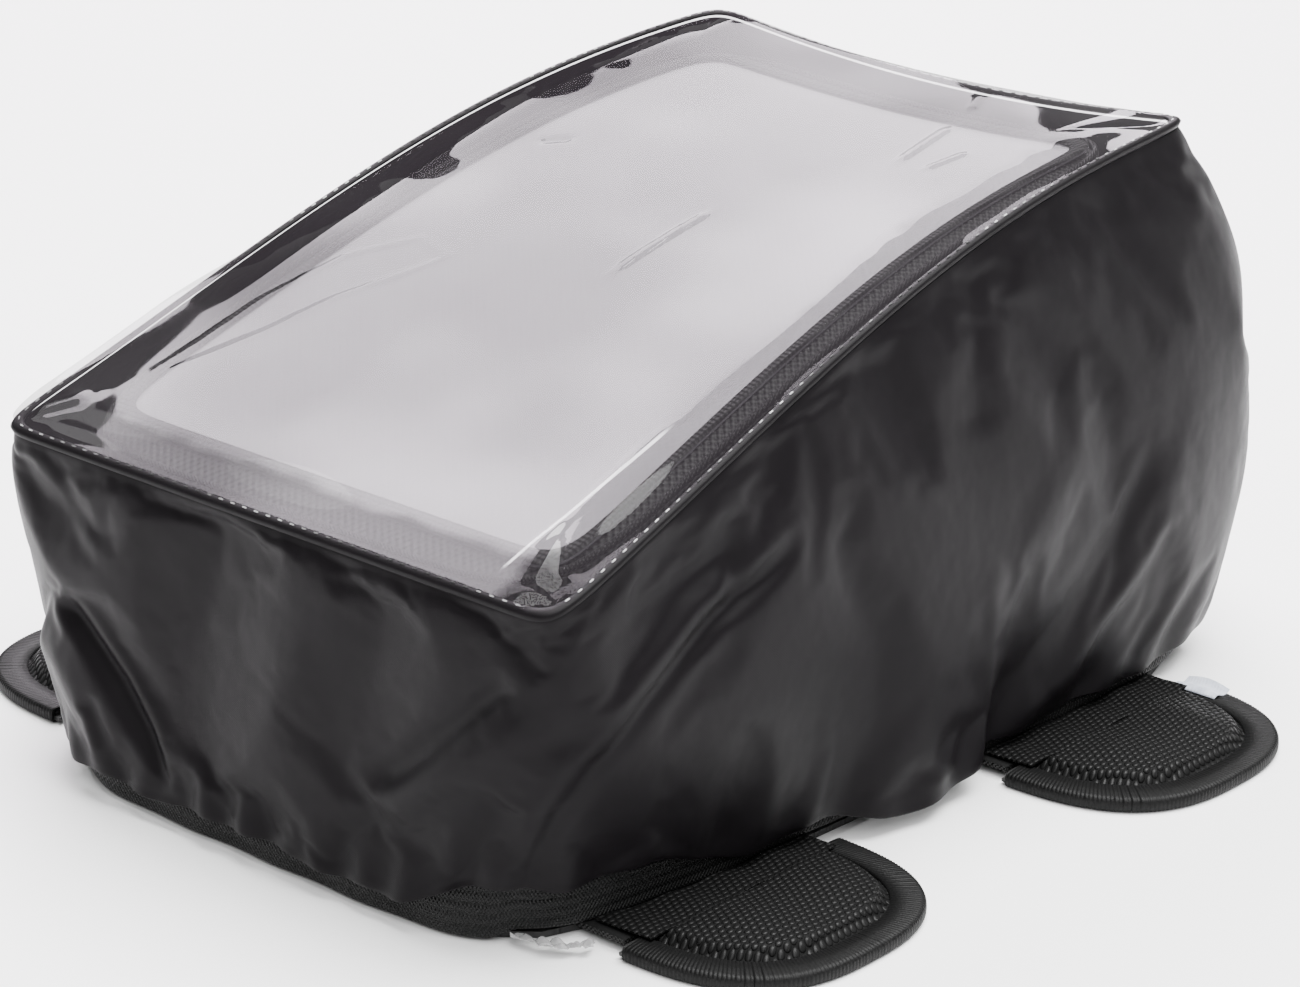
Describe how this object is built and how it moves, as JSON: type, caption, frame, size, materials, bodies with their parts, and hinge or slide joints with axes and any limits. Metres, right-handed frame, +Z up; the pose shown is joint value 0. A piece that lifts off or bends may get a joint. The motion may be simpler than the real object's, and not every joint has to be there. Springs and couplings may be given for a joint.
{
  "type": "magnetic tank bag with rain cover",
  "caption": "Wedge-shaped motorcycle tank bag in its rain cover: black coated skirt sewn to a clear domed window, ribbed base band, rounded magnetic flaps at the sides.",
  "frame": {"origin": "centre of the whole bag's footprint, on the ground under its base and flaps", "axes": "+Z up, +Y towards the high end, +X to the right across the bag"},
  "size_m": [0.372, 0.3551, 0.1803],
  "materials": {
    "cover_fabric": "satin coated nylon",
    "clear_film": "gloss",
    "elastic": "matt",
    "body_fabric": "matt ballistic weave",
    "lid_fabric": "matt ballistic weave",
    "lining": "matt",
    "base_rubber": "satin",
    "board": "matt",
    "webbing": "ribbed",
    "zip": "woven tape with moulded teeth",
    "zip_metal": "satin",
    "pocket_film": "gloss",
    "binding": "ribbed",
    "flap_mesh": "beaded mesh",
    "flap_sole": "brushed",
    "magnet": "satin",
    "label": "satin"
  },
  "bodies": {
    "bag": {"base_panel": "base_rubber", "base_board": "board", "front_wall": "body_fabric", "rear_wall": "body_fabric", "left_wall": "body_fabric", "right_wall": "body_fabric", "lining": "lining", "base_band": "webbing", "body_zip_tape": "zip", "lid_hinge_strip": "webbing", "carry_handle": "webbing", "flap_anchor_front_right": "webbing", "flap_anchor_front_left": "webbing", "flap_anchor_rear_right": "webbing", "flap_anchor_rear_left": "webbing"},
    "lid": {"lid_panel": "lid_fabric", "lid_gusset": "body_fabric", "lid_zip_tape": "zip", "map_pocket_film": "pocket_film", "map_pocket_binding": "binding"},
    "zip_slider_right": {"zip_slider_right": "zip_metal", "zip_pull_right": "webbing"},
    "zip_slider_left": {"zip_slider_left": "zip_metal", "zip_pull_left": "webbing"},
    "rain_cover": {"cover_skirt": "cover_fabric", "cover_window": "clear_film", "cover_seam_edge": "cover_fabric", "cover_hem_elastic": "elastic"},
    "flap_front_right": {"flap_underside_front_right": "flap_sole", "flap_top_front_right": "flap_mesh", "flap_binding_front_right": "binding", "magnet_front_right_a": "magnet", "magnet_front_right_b": "magnet"},
    "flap_front_left": {"flap_underside_front_left": "flap_sole", "flap_top_front_left": "flap_mesh", "flap_binding_front_left": "binding", "magnet_front_left_a": "magnet", "magnet_front_left_b": "magnet"},
    "flap_rear_right": {"flap_underside_rear_right": "flap_sole", "flap_top_rear_right": "flap_mesh", "flap_binding_rear_right": "binding", "magnet_rear_right_a": "magnet", "magnet_rear_right_b": "magnet", "flap_label": "label"},
    "flap_rear_left": {"flap_underside_rear_left": "flap_sole", "flap_top_rear_left": "flap_mesh", "flap_binding_rear_left": "binding", "magnet_rear_left_a": "magnet", "magnet_rear_left_b": "magnet"}
  },
  "joints": [
    {"name": "rain_cover_lift", "type": "slide", "parent": "bag", "child": "rain_cover", "axis": [0, 0, 1], "range_m": [0, 0.6]},
    {"name": "lid_fold", "type": "hinge", "parent": "bag", "child": "lid", "pos_m": [0, 0.136, 0.1483], "axis": [-1, 0, 0], "range_deg": [0, 95]},
    {"name": "zip_slide_right", "type": "slide", "parent": "bag", "child": "zip_slider_right", "axis": [-0.0523, 0.9545, 0.2937], "range_m": [-0.028, 0.028]},
    {"name": "zip_slide_left", "type": "slide", "parent": "bag", "child": "zip_slider_left", "axis": [0.0523, 0.9545, 0.2937], "range_m": [-0.028, 0.028]},
    {"name": "flap_fold_front_right", "type": "hinge", "parent": "bag", "child": "flap_front_right", "pos_m": [0.11997, -0.1, 0.0031], "axis": [0, -1, 0], "range_deg": [-50, 60]},
    {"name": "flap_fold_front_left", "type": "hinge", "parent": "bag", "child": "flap_front_left", "pos_m": [-0.11997, -0.1, 0.0031], "axis": [0, 1, 0], "range_deg": [-50, 60]},
    {"name": "flap_fold_rear_right", "type": "hinge", "parent": "bag", "child": "flap_rear_right", "pos_m": [0.12897, 0.066, 0.0031], "axis": [0, -1, 0], "range_deg": [-50, 60]},
    {"name": "flap_fold_rear_left", "type": "hinge", "parent": "bag", "child": "flap_rear_left", "pos_m": [-0.12897, 0.066, 0.0031], "axis": [0, 1, 0], "range_deg": [-50, 60]}
  ],
  "couplings": [
    {"joint": "lid_fold", "follows": "rain_cover_lift", "rad_per_m": 2.75}
  ]
}
